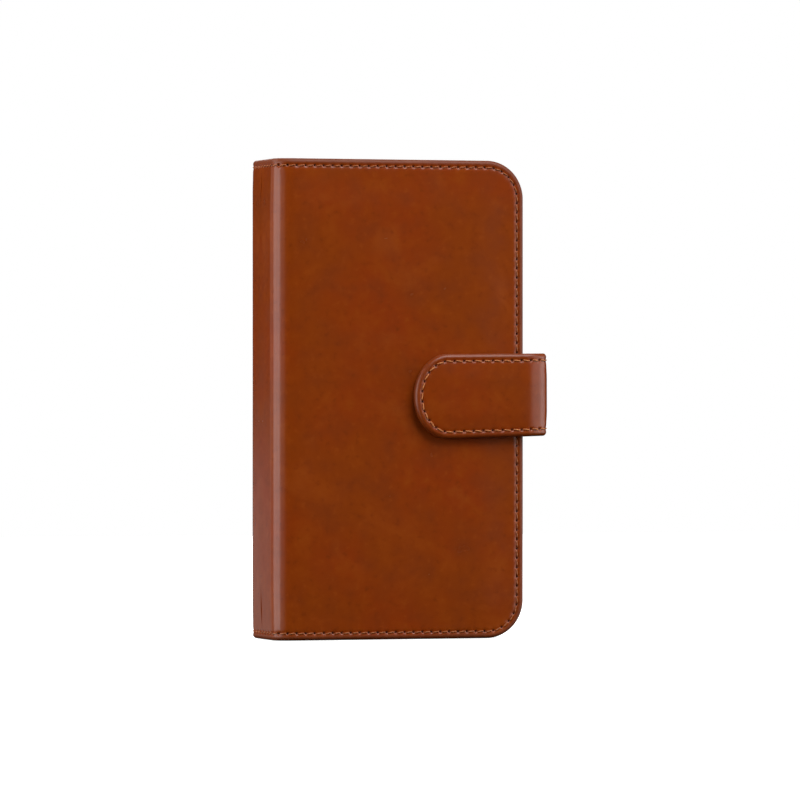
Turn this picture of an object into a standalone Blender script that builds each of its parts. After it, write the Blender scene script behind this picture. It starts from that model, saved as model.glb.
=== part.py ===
"""Phone wallet case: a leather folio with a closing strap. Metres, +Z up.

The closed case stands on its bottom edges. The front cover faces -Y, the spine is at -X
and the strap leaves the back cover at +X, turns round the open side and lies on the cover.
Each leather layer, board, lining, pocket, magnet, seam thread and the phone tray is its own
closed solid. Touching layers keep LAYER_GAP between them.
"""

import math

import bmesh
import bpy
from mathutils import Vector

# Driving dimensions of the closed case.
HEIGHT = 0.156
COVER_WIDTH = 0.085
THICKNESS = 0.027
FREE_CORNER_RADIUS = 0.0125
FRONT_CREASE_RADIUS = 0.005
REAR_CREASE_RADIUS = 0.0025

# Layers.
LAYER_GAP = 0.0003
LEATHER = 0.0012
PADDING = 0.0006
BOARD = 0.0012
SPINE_BOARD = 0.0010
LINING = 0.0005
POCKET_LEATHER = 0.0005
BOND_PAD = 0.0004

# The strap, from the back cover's edge round to the tab on the front.
STRAP_BULGE = 0.0076
STRAP_LEATHER = 0.0008
STRAP_CORE = 0.0008
STRAP_LINING = 0.0006
STRAP_HALF_HEIGHT_AT_BEND = 0.0135
STRAP_HALF_HEIGHT_AT_END = 0.0139
STRAP_RISE_AT_BEND = 0.0016
STRAP_RISE_AT_END = 0.0007
STRAP_FRONT_RADIUS = 0.0042
STRAP_REAR_RADIUS = 0.0050
STRAP_TAIL_LENGTH = 0.010
TAB_REACH = 0.0376
TAB_CLEARANCE = 0.0008
TAB_END_LENGTH = 0.0115
TAB_CORE_INSET = 0.0026
MAGNET_RADIUS = 0.0055
MAGNET_FROM_TAB_END = 0.0140

# Each seam thread lies in a groove, just under the face of the leather.
SEAM_INSET = 0.0023
THREAD_RADIUS = 0.00015
THREAD_DEPTH = 0.0002
GROOVE_RADIUS = 0.00035

# The phone that the tray holds, and the tray round it.
PHONE_WIDTH = 0.0715
PHONE_HEIGHT = 0.1467
PHONE_DEPTH = 0.0078
PHONE_CORNER_RADIUS = 0.0095
PHONE_CLEARANCE = 0.00035
TRAY_WALL = 0.0016
TRAY_FLOOR = 0.0014
TRAY_LIP_HEIGHT = 0.0010
TRAY_LIP_OVERHANG = 0.0009
TRAY_FROM_SPINE = 0.0048
CAMERA_WIDTH = 0.034
CAMERA_HEIGHT = 0.036
CAMERA_FROM_TRAY_SIDE = 0.0055
CAMERA_FROM_TRAY_TOP = 0.0055
CAMERA_CORNER_RADIUS = 0.009
PORT_WIDTH = 0.014
BUTTON_SLOT_DEPTH = 0.0045

# Pockets inside the front cover: each mouth faces the spine.
BOARD_INSET = 0.0030
PADDING_INSET = 0.0036
CASH_MOUTH = 0.0085
CARD_MOUTHS = (0.0130, 0.0210, 0.0290)
POCKET_EDGE_INSET = 0.0006

ARC_STEPS = 10
CORNER_STEPS = 12
CUTTER_MARGIN = 0.01

# Places that follow from the sizes above. The whole object is centred on X and Y.
TAB_STACK = STRAP_LEATHER + STRAP_CORE + STRAP_LINING + 2 * LAYER_GAP
TAB_PROUD = TAB_STACK + TAB_CLEARANCE
LEFT = -(COVER_WIDTH + STRAP_BULGE) / 2
RIGHT = LEFT + COVER_WIDTH
STRAP_OUTER = RIGHT + STRAP_BULGE
BACK = (THICKNESS + TAB_PROUD) / 2
FRONT = BACK - THICKNESS
TAB_OUTER = FRONT - TAB_PROUD
TAB_END = RIGHT - TAB_REACH
MIDDLE = HEIGHT / 2

FRONT_CREASE_CENTRE = (LEFT + FRONT_CREASE_RADIUS, FRONT + FRONT_CREASE_RADIUS)
REAR_CREASE_CENTRE = (LEFT + REAR_CREASE_RADIUS, BACK - REAR_CREASE_RADIUS)
STRAP_TAIL_OUTER = BACK - LEATHER - LAYER_GAP
STRAP_REAR_CENTRE = (STRAP_OUTER - STRAP_REAR_RADIUS, STRAP_TAIL_OUTER - STRAP_REAR_RADIUS)
STRAP_FRONT_CENTRE = (STRAP_OUTER - STRAP_FRONT_RADIUS, TAB_OUTER + STRAP_FRONT_RADIUS)


def clear_scene():
    for item in list(bpy.data.objects):
        bpy.data.objects.remove(item, do_unlink=True)


def new_collection(name):
    collection = bpy.data.collections.new(name)
    bpy.context.scene.collection.children.link(collection)
    return collection


def new_material(name, colour, roughness, metallic=0.0):
    material = bpy.data.materials.new(name)
    material.use_nodes = True
    shader = material.node_tree.nodes["Principled BSDF"]
    shader.inputs["Base Color"].default_value = (*colour, 1.0)
    shader.inputs["Roughness"].default_value = roughness
    shader.inputs["Metallic"].default_value = metallic
    return material


def arc(centre, radius, start_deg, end_deg, steps=ARC_STEPS):
    """Points on an arc, both ends included."""
    points = []
    for step in range(steps + 1):
        angle = math.radians(start_deg + (end_deg - start_deg) * step / steps)
        points.append((centre[0] + radius * math.cos(angle), centre[1] + radius * math.sin(angle)))
    return points


def on_arc(centre, radius, angle_deg):
    angle = math.radians(angle_deg)
    return (centre[0] + radius * math.cos(angle), centre[1] + radius * math.sin(angle))


def crease_half_gap(inner_radius):
    """Half the angle that two bodies leave between them where a skin is split at its crease."""
    return math.degrees(LAYER_GAP / 2 / inner_radius)


def curve_object(name, points, closed, depth):
    """A closed flat outline that is depth thick, or an open tube whose radius is depth."""
    curve = bpy.data.curves.new(name, "CURVE")
    spline = curve.splines.new("POLY")
    spline.points.add(len(points) - 1)
    for point, place in zip(spline.points, points):
        point.co = (*place, 1.0)
    spline.use_cyclic_u = closed
    curve.dimensions = "2D" if closed else "3D"
    if closed:
        curve.fill_mode = "BOTH"
        curve.extrude = depth / 2
    else:
        curve.fill_mode = "FULL"
        curve.bevel_depth = depth
        curve.bevel_resolution = 1
        curve.use_fill_caps = True
    item = bpy.data.objects.new(name, curve)
    bpy.context.scene.collection.objects.link(item)
    return item


def to_mesh(curve, collection, material=None):
    """Turn a curve object into a welded mesh object of the same name and place."""
    bpy.context.view_layer.update()
    evaluated = curve.evaluated_get(bpy.context.evaluated_depsgraph_get())
    mesh = bpy.data.meshes.new_from_object(evaluated)
    matrix = curve.matrix_world.copy()
    name = curve.name
    bpy.data.objects.remove(curve, do_unlink=True)
    shape = bmesh.new()
    shape.from_mesh(mesh)
    bmesh.ops.remove_doubles(shape, verts=shape.verts, dist=0.000001)
    bmesh.ops.recalc_face_normals(shape, faces=shape.faces)
    shape.to_mesh(mesh)
    shape.free()
    item = bpy.data.objects.new(name, mesh)
    item.matrix_world = matrix
    collection.objects.link(item)
    if material:
        mesh.materials.clear()
        mesh.materials.append(material)
    else:
        item.hide_render = True
        item.display_type = "WIRE"
    return item


def plate(name, outline, y_low, y_high, collection, material=None):
    """A flat layer: its outline is in X and Z, and it runs from y_low to y_high."""
    curve = curve_object(name, [(x, z, 0.0) for x, z in outline], True, y_high - y_low)
    curve.rotation_euler = (math.pi / 2, 0.0, 0.0)
    curve.location = (0.0, (y_low + y_high) / 2, 0.0)
    return to_mesh(curve, collection, material)


def bent_layer(name, section, collection, material, z_low=0.0, z_high=HEIGHT):
    """A bent layer: its section is in X and Y, and it stands from z_low to z_high."""
    curve = curve_object(name, [(x, y, 0.0) for x, y in section], True, z_high - z_low)
    curve.location = (0.0, 0.0, (z_low + z_high) / 2)
    return to_mesh(curve, collection, material)


def tube(name, points, radius, collection, material=None):
    """A round thread, or the groove that it lies in, along points in X, Y and Z."""
    return to_mesh(curve_object(name, points, False, radius), collection, material)


def disc(name, x, z, y_low, y_high, radius, collection, material=None):
    return plate(name, arc((x, z), radius, 0, 337.5, 15), y_low, y_high, collection, material)


def boolean(item, cutter, operation="DIFFERENCE"):
    modifier = item.modifiers.new(cutter.name, "BOOLEAN")
    modifier.operation = operation
    modifier.solver = "EXACT"
    modifier.object = cutter


def cover_outline(left, inset=0.0):
    """A cover seen from the front: square at its crease side, round at its free corners."""
    right, low, high = RIGHT - inset, inset, HEIGHT - inset
    radius = FREE_CORNER_RADIUS - inset
    outline = [(left, low)]
    outline += arc((right - radius, low + radius), radius, -90, 0, CORNER_STEPS)
    outline += arc((right - radius, high - radius), radius, 0, 90, CORNER_STEPS)
    outline.append((left, high))
    return outline


def rounded_rectangle(x_low, x_high, z_low, z_high, radius):
    outline = arc((x_high - radius, z_low + radius), radius, -90, 0)
    outline += arc((x_high - radius, z_high - radius), radius, 0, 90)
    outline += arc((x_low + radius, z_high - radius), radius, 90, 180)
    outline += arc((x_low + radius, z_low + radius), radius, 180, 270)
    return outline


def strap_edges(x):
    """Lowest and highest Z of the strap at x: it tapers and rises a little to its bend."""
    share = min(max((x - TAB_END) / (STRAP_OUTER - TAB_END), 0.0), 1.0)
    rise = STRAP_RISE_AT_END + (STRAP_RISE_AT_BEND - STRAP_RISE_AT_END) * share
    half = STRAP_HALF_HEIGHT_AT_END + (STRAP_HALF_HEIGHT_AT_BEND - STRAP_HALF_HEIGHT_AT_END) * share
    return MIDDLE + rise - half, MIDDLE + rise + half


def tab_outline(right, inset=0.0, steps=16):
    """The strap seen from the front: a half oval at its end, open towards the bend."""
    turn = TAB_END + TAB_END_LENGTH
    low, high = strap_edges(turn)
    centre, half = (low + high) / 2, (high - low) / 2 - inset
    outline = [(right, strap_edges(right)[1] - inset)]
    for step in range(steps + 1):
        angle = math.pi * (0.5 + step / steps)
        x = turn + (TAB_END_LENGTH - inset) * math.cos(angle)
        outline.append((x, centre + half * math.sin(angle)))
    outline.append((right, strap_edges(right)[0] + inset))
    return outline


def front_parts(parts, cutters, materials):
    """The front cover: leather, padding, board with its magnet, lining and pockets."""
    gap = crease_half_gap(FRONT_CREASE_RADIUS - LEATHER)
    section = arc(FRONT_CREASE_CENTRE, FRONT_CREASE_RADIUS, 225 + gap, 270)
    section += [(RIGHT, FRONT), (RIGHT, FRONT + LEATHER)]
    section += arc(FRONT_CREASE_CENTRE, FRONT_CREASE_RADIUS - LEATHER, 270, 225 + gap)
    skin = bent_layer("front_leather", section, parts, materials["leather"])
    outline = plate("front_outline", cover_outline(LEFT - CUTTER_MARGIN),
                    FRONT - CUTTER_MARGIN, FRONT + CUTTER_MARGIN, cutters)
    boolean(skin, outline, "INTERSECT")

    start = LEFT + FRONT_CREASE_RADIUS + LAYER_GAP
    y = FRONT + LEATHER + LAYER_GAP
    plate("front_padding", cover_outline(start + PADDING_INSET, PADDING_INSET),
          y, y + PADDING, parts, materials["padding"])

    y += PADDING + LAYER_GAP
    board = plate("front_board", cover_outline(start + BOARD_INSET, BOARD_INSET),
                  y, y + BOARD, parts, materials["board"])
    magnet_x = TAB_END + MAGNET_FROM_TAB_END
    magnet_z = sum(strap_edges(magnet_x)) / 2
    hole = disc("front_magnet_hole", magnet_x, magnet_z, y - LAYER_GAP, y + BOARD + LAYER_GAP,
                MAGNET_RADIUS + LAYER_GAP, cutters)
    boolean(board, hole)
    disc("front_magnet", magnet_x, magnet_z, y, y + BOARD, MAGNET_RADIUS, parts, materials["steel"])

    y += BOARD + LAYER_GAP
    plate("front_lining", cover_outline(start), y, y + LINING, parts, materials["lining"])
    y += LINING + LAYER_GAP
    plate("cash_pocket_panel", cover_outline(LEFT + CASH_MOUTH, POCKET_EDGE_INSET),
          y, y + POCKET_LEATHER, parts, materials["leather"])
    for number, mouth in enumerate(CARD_MOUTHS, start=1):
        y += POCKET_LEATHER + LAYER_GAP
        plate(f"card_slot_panel_{number}", cover_outline(LEFT + mouth, POCKET_EDGE_INSET),
              y, y + POCKET_LEATHER, parts, materials["leather"])


def spine_parts(parts, materials):
    """The spine between the two creases: leather, board and lining."""
    front_gap = crease_half_gap(FRONT_CREASE_RADIUS - LEATHER)
    rear_gap = crease_half_gap(REAR_CREASE_RADIUS - LEATHER)
    section = arc(FRONT_CREASE_CENTRE, FRONT_CREASE_RADIUS, 225 - front_gap, 180)
    section += arc(REAR_CREASE_CENTRE, REAR_CREASE_RADIUS, 180, 135 + rear_gap)
    section += arc(REAR_CREASE_CENTRE, REAR_CREASE_RADIUS - LEATHER, 135 + rear_gap, 180)
    section += arc(FRONT_CREASE_CENTRE, FRONT_CREASE_RADIUS - LEATHER, 180, 225 - front_gap)
    bent_layer("spine_leather", section, parts, materials["leather"])

    low_y = FRONT + FRONT_CREASE_RADIUS + LAYER_GAP
    high_y = BACK - REAR_CREASE_RADIUS - LAYER_GAP
    x = LEFT + LEATHER + LAYER_GAP
    for name, depth, inset, slot in (("spine_board", SPINE_BOARD, BOARD_INSET, "board"),
                                     ("spine_lining", LINING, 0.0, "lining")):
        section = [(x, low_y), (x + depth, low_y), (x + depth, high_y), (x, high_y)]
        bent_layer(name, section, parts, materials[slot], inset, HEIGHT - inset)
        x += depth + LAYER_GAP


def tray_parts(parts, cutters, materials, y_back):
    """The moulded tray that grips the phone: floor, walls, lip and cut-outs."""
    depth = TRAY_FLOOR + PHONE_DEPTH + PHONE_CLEARANCE + TRAY_LIP_HEIGHT
    half_width = PHONE_WIDTH / 2 + PHONE_CLEARANCE
    half_height = PHONE_HEIGHT / 2 + PHONE_CLEARANCE
    centre = LEFT + TRAY_FROM_SPINE + TRAY_WALL + half_width
    y_front, y_floor = y_back - depth, y_back - TRAY_FLOOR
    radius = PHONE_CORNER_RADIUS

    def ring(name, grow, y_low, y_high, collection, material=None):
        outline = rounded_rectangle(centre - half_width - grow, centre + half_width + grow,
                                    MIDDLE - half_height - grow, MIDDLE + half_height + grow,
                                    radius + grow)
        return plate(name, outline, y_low, y_high, collection, material)

    tray = ring("phone_tray", TRAY_WALL, y_front, y_back, parts, materials["tray"])
    boolean(tray, ring("tray_cavity", 0.0, y_front + TRAY_LIP_HEIGHT, y_floor, cutters))
    boolean(tray, ring("tray_mouth", -TRAY_LIP_OVERHANG, y_front - CUTTER_MARGIN,
                       y_front + TRAY_LIP_HEIGHT + LAYER_GAP, cutters))

    top = MIDDLE + half_height
    side = centre + half_width
    slots = {
        "port_cut": (centre - PORT_WIDTH / 2, centre + PORT_WIDTH / 2, -CUTTER_MARGIN, 0.012),
        "power_cut": (side - 0.004, side + CUTTER_MARGIN, top - 0.058, top - 0.036),
        "volume_cut": (centre - half_width - 0.006, centre - half_width + 0.004,
                       top - 0.066, top - 0.030),
    }
    slot_y = y_floor - PHONE_DEPTH / 2
    for name, (x_low, x_high, z_low, z_high) in slots.items():
        outline = [(x_low, z_low), (x_high, z_low), (x_high, z_high), (x_low, z_high)]
        cutter = plate(name, outline, slot_y - BUTTON_SLOT_DEPTH / 2,
                       slot_y + BUTTON_SLOT_DEPTH / 2, cutters)
        boolean(tray, cutter)

    camera_right = centre + half_width - CAMERA_FROM_TRAY_SIDE
    camera_top = MIDDLE + half_height - CAMERA_FROM_TRAY_TOP
    camera = rounded_rectangle(camera_right - CAMERA_WIDTH, camera_right,
                               camera_top - CAMERA_HEIGHT, camera_top, CAMERA_CORNER_RADIUS)
    cutter = plate("camera_cut", camera, y_floor - 0.002, BACK + CUTTER_MARGIN, cutters)
    boolean(tray, cutter)

    pad_outline = rounded_rectangle(centre - half_width + 0.006, centre + half_width - 0.006,
                                    MIDDLE - half_height + 0.006,
                                    camera_top - CAMERA_HEIGHT - 0.003, radius)
    plate("tray_bond_pad", pad_outline, y_back + LAYER_GAP, y_back + LAYER_GAP + BOND_PAD,
          parts, materials["adhesive"])
    return cutter


def back_parts(parts, cutters, materials):
    """The back cover, with the phone tray bonded to its lining."""
    gap = crease_half_gap(REAR_CREASE_RADIUS - LEATHER)
    section = arc(REAR_CREASE_CENTRE, REAR_CREASE_RADIUS, 135 - gap, 90)
    section += [(RIGHT, BACK), (RIGHT, BACK - LEATHER)]
    section += arc(REAR_CREASE_CENTRE, REAR_CREASE_RADIUS - LEATHER, 90, 135 - gap)
    skin = bent_layer("back_leather", section, parts, materials["leather"])
    outline = plate("back_outline", cover_outline(LEFT - CUTTER_MARGIN),
                    BACK - CUTTER_MARGIN, BACK + CUTTER_MARGIN, cutters)
    boolean(skin, outline, "INTERSECT")

    start = LEFT + LEATHER + SPINE_BOARD + LINING + 4 * LAYER_GAP
    y = BACK - LEATHER - LAYER_GAP
    board = plate("back_board", cover_outline(start + LAYER_GAP, BOARD_INSET),
                  y - BOARD, y, parts, materials["board"])
    low, high = strap_edges(RIGHT)
    tail_left = RIGHT - STRAP_TAIL_LENGTH
    notch = [(tail_left - LAYER_GAP, low - LAYER_GAP), (RIGHT + CUTTER_MARGIN, low - LAYER_GAP),
             (RIGHT + CUTTER_MARGIN, high + LAYER_GAP), (tail_left - LAYER_GAP, high + LAYER_GAP)]
    boolean(board, plate("strap_tail_notch", notch, y - BOARD - LAYER_GAP, y + LAYER_GAP, cutters))
    y -= BOARD + LAYER_GAP
    lining = plate("back_lining", cover_outline(start), y - LINING, y, parts, materials["lining"])

    tray_back = y - LINING - 2 * LAYER_GAP - BOND_PAD
    camera = tray_parts(parts, cutters, materials, tray_back)
    for item in (skin, board, lining):
        boolean(item, camera)


def strap_parts(parts, cutters, materials):
    """The strap: a tail sewn into the back cover, a band round the open side, and a tab."""
    low, high = strap_edges(STRAP_OUTER)
    rear_gap = crease_half_gap(STRAP_REAR_RADIUS - BOARD)
    section = [(RIGHT - STRAP_TAIL_LENGTH, STRAP_TAIL_OUTER - BOARD)]
    section += arc(STRAP_REAR_CENTRE, STRAP_REAR_RADIUS - BOARD, 90, 45 + rear_gap)
    section += arc(STRAP_REAR_CENTRE, STRAP_REAR_RADIUS, 45 + rear_gap, 90)
    section.append((RIGHT - STRAP_TAIL_LENGTH, STRAP_TAIL_OUTER))
    bent_layer("strap_tail", section, parts, materials["leather"], low, high)

    depth = 0.0
    for name, thickness, slot in (("band_leather", STRAP_LEATHER, "leather"),
                                  ("band_lining", STRAP_LINING, "lining")):
        outer_rear, outer_front = STRAP_REAR_RADIUS - depth, STRAP_FRONT_RADIUS - depth
        gap = crease_half_gap(outer_front - thickness)
        section = arc(STRAP_REAR_CENTRE, outer_rear, 45 - rear_gap, 0)
        section += arc(STRAP_FRONT_CENTRE, outer_front, 0, -45 + gap)
        section += arc(STRAP_FRONT_CENTRE, outer_front - thickness, -45 + gap, 0)
        section += arc(STRAP_REAR_CENTRE, outer_rear - thickness, 0, 45 - rear_gap)
        bent_layer(name, section, parts, materials[slot], low, high)
        depth += thickness + LAYER_GAP

    gap = crease_half_gap(STRAP_FRONT_RADIUS - STRAP_LEATHER)
    section = arc(STRAP_FRONT_CENTRE, STRAP_FRONT_RADIUS, -45 - gap, -90)
    section += [(TAB_END - CUTTER_MARGIN, TAB_OUTER),
                (TAB_END - CUTTER_MARGIN, TAB_OUTER + STRAP_LEATHER)]
    section += arc(STRAP_FRONT_CENTRE, STRAP_FRONT_RADIUS - STRAP_LEATHER, -90, -45 - gap)
    skin = bent_layer("tab_leather", section, parts, materials["leather"],
                      low - CUTTER_MARGIN, high + CUTTER_MARGIN)
    outline = plate("tab_outline", tab_outline(STRAP_OUTER + CUTTER_MARGIN),
                    TAB_OUTER - CUTTER_MARGIN, FRONT + CUTTER_MARGIN, cutters)
    boolean(skin, outline, "INTERSECT")

    right = STRAP_FRONT_CENTRE[0]
    y = TAB_OUTER + STRAP_LEATHER + LAYER_GAP
    core = plate("tab_core", tab_outline(right - TAB_CORE_INSET, TAB_CORE_INSET),
                 y, y + STRAP_CORE, parts, materials["board"])
    magnet_x = TAB_END + MAGNET_FROM_TAB_END
    magnet_z = sum(strap_edges(magnet_x)) / 2
    hole = disc("tab_magnet_hole", magnet_x, magnet_z, y - LAYER_GAP, y + STRAP_CORE + LAYER_GAP,
                MAGNET_RADIUS + LAYER_GAP, cutters)
    boolean(core, hole)
    disc("tab_magnet", magnet_x, magnet_z, y, y + STRAP_CORE, MAGNET_RADIUS,
         parts, materials["steel"])
    y += STRAP_CORE + LAYER_GAP
    plate("tab_lining", tab_outline(right), y, y + STRAP_LINING, parts, materials["lining"])


def longer(points, extra):
    """The same points, with the path's two ends moved outwards by extra."""
    first, second = Vector(points[0]), Vector(points[1])
    last, before = Vector(points[-1]), Vector(points[-2])
    start = first + (first - second).normalized() * extra
    end = last + (last - before).normalized() * extra
    return [start, *points[1:-1], end]


def seam(name, leather, points, parts, cutters, materials):
    """A seam thread, and its groove in the leather."""
    tube(name, points, THREAD_RADIUS, parts, materials["thread"])
    groove = tube(f"{name}_groove", longer(points, LAYER_GAP), GROOVE_RADIUS, cutters)
    boolean(bpy.data.objects[leather], groove)


def seams(parts, cutters, materials):
    """One thread along each sewn edge: both covers, the spine's two ends and the strap."""
    covers = (("front", FRONT + THREAD_DEPTH, LEFT + FRONT_CREASE_RADIUS),
              ("back", BACK - THREAD_DEPTH, LEFT + REAR_CREASE_RADIUS))
    for side, y, start in covers:
        points = [(x, y, z) for x, z in cover_outline(start, SEAM_INSET)]
        seam(f"{side}_seam_thread", f"{side}_leather", points, parts, cutters, materials)

    x = LEFT + THREAD_DEPTH
    ends = (FRONT + FRONT_CREASE_RADIUS, BACK - REAR_CREASE_RADIUS)
    for name, z in (("spine_top_thread", HEIGHT - SEAM_INSET), ("spine_bottom_thread", SEAM_INSET)):
        seam(name, "spine_leather", [(x, y, z) for y in ends], parts, cutters, materials)

    y = TAB_OUTER + THREAD_DEPTH
    points = [(x, y, z) for x, z in tab_outline(STRAP_FRONT_CENTRE[0], SEAM_INSET)]
    seam("tab_seam_thread", "tab_leather", points, parts, cutters, materials)

    low, high = strap_edges(STRAP_OUTER)
    x = STRAP_OUTER - THREAD_DEPTH
    ends = (STRAP_FRONT_CENTRE[1], STRAP_REAR_CENTRE[1])
    for name, z in (("band_top_thread", high - SEAM_INSET), ("band_bottom_thread", low + SEAM_INSET)):
        seam(name, "band_leather", [(x, y, z) for y in ends], parts, cutters, materials)


def set_origins():
    """Put each moving piece's origin on its body's fold line."""
    folds = {
        "spine": on_arc(REAR_CREASE_CENTRE, REAR_CREASE_RADIUS, 135),
        "front_cover": on_arc(FRONT_CREASE_CENTRE, FRONT_CREASE_RADIUS, 225),
        "strap_band": on_arc(STRAP_REAR_CENTRE, STRAP_REAR_RADIUS, 45),
        "strap_tab": on_arc(STRAP_FRONT_CENTRE, STRAP_FRONT_RADIUS, -45),
    }
    prefixes = {"spine": ("spine_",), "front_cover": ("front_", "cash_", "card_"),
                "strap_band": ("band_",), "strap_tab": ("tab_",)}
    bpy.context.view_layer.update()
    for body, (x, y) in folds.items():
        pivot = bpy.data.objects.new(f"{body}_fold", None)
        pivot.location = (x, y, 0.0)
        bpy.context.scene.collection.objects.link(pivot)
        bpy.context.view_layer.update()
        for item in list(bpy.data.objects):
            if item.type == "MESH" and not item.hide_render and item.name.startswith(prefixes[body]):
                item.parent = pivot
                item.matrix_parent_inverse = pivot.matrix_world.inverted()


def main():
    clear_scene()
    parts = new_collection("phone_wallet_case")
    cutters = new_collection("cutters")
    materials = {
        "leather": new_material("leather", (0.20, 0.035, 0.007), 0.35),
        "lining": new_material("lining", (0.10, 0.030, 0.010), 0.85),
        "board": new_material("board", (0.35, 0.28, 0.20), 0.90),
        "padding": new_material("padding", (0.70, 0.68, 0.62), 0.90),
        "adhesive": new_material("adhesive", (0.80, 0.78, 0.70), 0.60),
        "tray": new_material("tray", (0.012, 0.011, 0.010), 0.45),
        "steel": new_material("steel", (0.60, 0.60, 0.62), 0.30, 1.0),
        "thread": new_material("thread", (0.45, 0.16, 0.05), 0.70),
    }
    front_parts(parts, cutters, materials)
    spine_parts(parts, materials)
    back_parts(parts, cutters, materials)
    strap_parts(parts, cutters, materials)
    seams(parts, cutters, materials)
    set_origins()


main()
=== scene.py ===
"""Looks of the phone wallet case: leather skins, linings, pockets, stitching, tray and studio.

The leather is drawn as sheets. A sheet has a flat cut (s along its section, z up), and its
section rolls the cut round the creases of the closed case. Metres, +Z up.
"""

import math

import bmesh
import bpy
import numpy as np
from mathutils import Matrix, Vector, kdtree, noise


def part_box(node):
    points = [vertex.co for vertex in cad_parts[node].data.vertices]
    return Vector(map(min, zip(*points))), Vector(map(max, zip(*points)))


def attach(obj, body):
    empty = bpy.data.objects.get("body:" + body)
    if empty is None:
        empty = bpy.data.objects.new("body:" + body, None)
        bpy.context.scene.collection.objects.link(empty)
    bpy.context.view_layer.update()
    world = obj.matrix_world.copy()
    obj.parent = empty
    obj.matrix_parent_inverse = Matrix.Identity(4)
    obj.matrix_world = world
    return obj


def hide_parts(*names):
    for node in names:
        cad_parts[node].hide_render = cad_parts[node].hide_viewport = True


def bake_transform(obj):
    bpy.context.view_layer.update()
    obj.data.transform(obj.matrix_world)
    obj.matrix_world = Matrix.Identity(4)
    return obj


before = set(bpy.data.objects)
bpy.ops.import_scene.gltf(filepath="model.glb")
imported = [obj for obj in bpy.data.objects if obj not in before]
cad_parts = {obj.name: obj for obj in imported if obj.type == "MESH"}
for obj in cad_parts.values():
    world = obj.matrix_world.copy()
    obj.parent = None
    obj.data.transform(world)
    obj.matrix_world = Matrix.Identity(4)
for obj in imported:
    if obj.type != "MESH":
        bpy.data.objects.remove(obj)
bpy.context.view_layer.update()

MM = 0.001


def low(node):
    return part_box(node)[0]


def high(node):
    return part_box(node)[1]


def mm(*values):
    return [value * MM for value in values]


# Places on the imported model.
LEFT = low("spine_leather").x
RIGHT = high("front_leather").x
FRONT = low("front_leather").y
BACK = high("back_leather").y
HEIGHT = high("front_leather").z
MIDDLE = HEIGHT / 2
SPINE_LINING = low("spine_lining").x
FRONT_LINING = low("front_lining").y
BACK_LINING = high("back_lining").y
BAND_LOW, BAND_HIGH = low("band_leather").z, high("band_leather").z
TAB_OUTER = low("tab_leather").y
TAIL_OUTER = high("strap_tail").y
TAIL_END = low("strap_tail").x
POCKETS = ("cash_pocket_panel", "card_slot_panel_1", "card_slot_panel_2", "card_slot_panel_3")

# The strap is drawn a little outside its CAD solids, and its tab a little longer, as in the photo.
STRAP_OUTER = high("band_leather").x + 0.2 * MM
TAB_END = low("tab_leather").x - 0.8 * MM
BAND_DEPTH = STRAP_OUTER - high("band_lining").x

# The sheets' own sizes. A lining is drawn a little thinner than its space.
LEATHER = 1.2 * MM
LINING = 0.5 * MM
STRAP_LEATHER = 0.8 * MM
STRAP_LINING = 0.6 * MM
LINING_SHARE = 0.9
LINING_INSET = 0.5 * MM
STRAP_LINING_INSET = 0.45 * MM
CORNER_RADIUS = 12.5 * MM
TAIL_CORNER_RADIUS = 2.0 * MM
TAB_END_LENGTH = 11.5 * MM
TAB_END_HALF = 13.9 * MM
TAB_END_RISE = 0.7 * MM

# Creases. A soft bend has a tight radius, a soft radius, and the degrees of its tight arc.
FRONT_BEND = (4.2 * MM, 9.0 * MM, 60)
STRAP_BEND = (2.8 * MM, 14.0 * MM, 63)
FRONT_RADIUS = 5.0 * MM
REAR_RADIUS = 2.5 * MM
BEND_REAR_RADIUS = 5.0 * MM
INNER_FILLET = 1.0 * MM

# Seams, and how finely a sheet is divided along and across them.
SEAM_INSET = 2.3 * MM
COVER_PITCH = 3.05 * MM
TAB_PITCH = 3.28 * MM
FINE_PER_STITCH = 12
COARSE_RATIO = 4
CUT_STEP = 0.05 * MM
ARC_STEPS = 90
PART_STEPS = 40
SAME_POINT = 1e-7
COVER_RINGS = mm(5.3, 4.6, 4.0, 3.5, 3.1, 2.85, 2.68, 2.55, 2.43, 2.3, 2.17, 2.05, 1.92, 1.75, 1.5,
    1.2, 0.9, 0.65)
STRAP_RINGS = mm(4.5) + COVER_RINGS[2:-1]
THIN_RINGS = mm(4.5, 3.5, 2.9, 2.5, 2.3, 2.15, 2.02, 1.9, 1.8, 1.7, 1.58, 1.45, 1.3, 1.0, 0.7, 0.45)
COVER_SHEET = dict(rings=COVER_RINGS, rounding=1.3 * MM, hem=2.6 * MM, grid_inset=6.0 * MM)
STRAP_SHEET = dict(rings=STRAP_RINGS, hem=2.2 * MM, grid_inset=5.2 * MM)
THIN_SHEET = dict(rings=THIN_RINGS, hem=2.2 * MM, grid_inset=5.2 * MM)
COVER_STITCH = dict(length=2.20 * MM, radius=0.19 * MM, height=-0.01 * MM)
TAB_STITCH = dict(length=2.40 * MM, radius=0.20 * MM, height=0.01 * MM)
INSIDE_STITCH = dict(length=2.20 * MM, radius=0.17 * MM, height=0.05 * MM)

# The camera window in the back, from the tray's upper corner.
WINDOW_WIDTH, WINDOW_HEIGHT, WINDOW_RADIUS = mm(34.0, 36.0, 9.0)
WINDOW_FROM_TRAY = 7.1 * MM
WINDOW_LIP = 0.5 * MM


def bend_length(tight, soft, degrees):
    """How far a soft bend reaches along its base."""
    return tight + (soft - tight) * math.cos(math.radians(degrees))


def bend_depth(tight, soft, degrees):
    """How far a soft bend reaches along its wall."""
    return soft - (soft - tight) * math.sin(math.radians(degrees))


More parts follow.
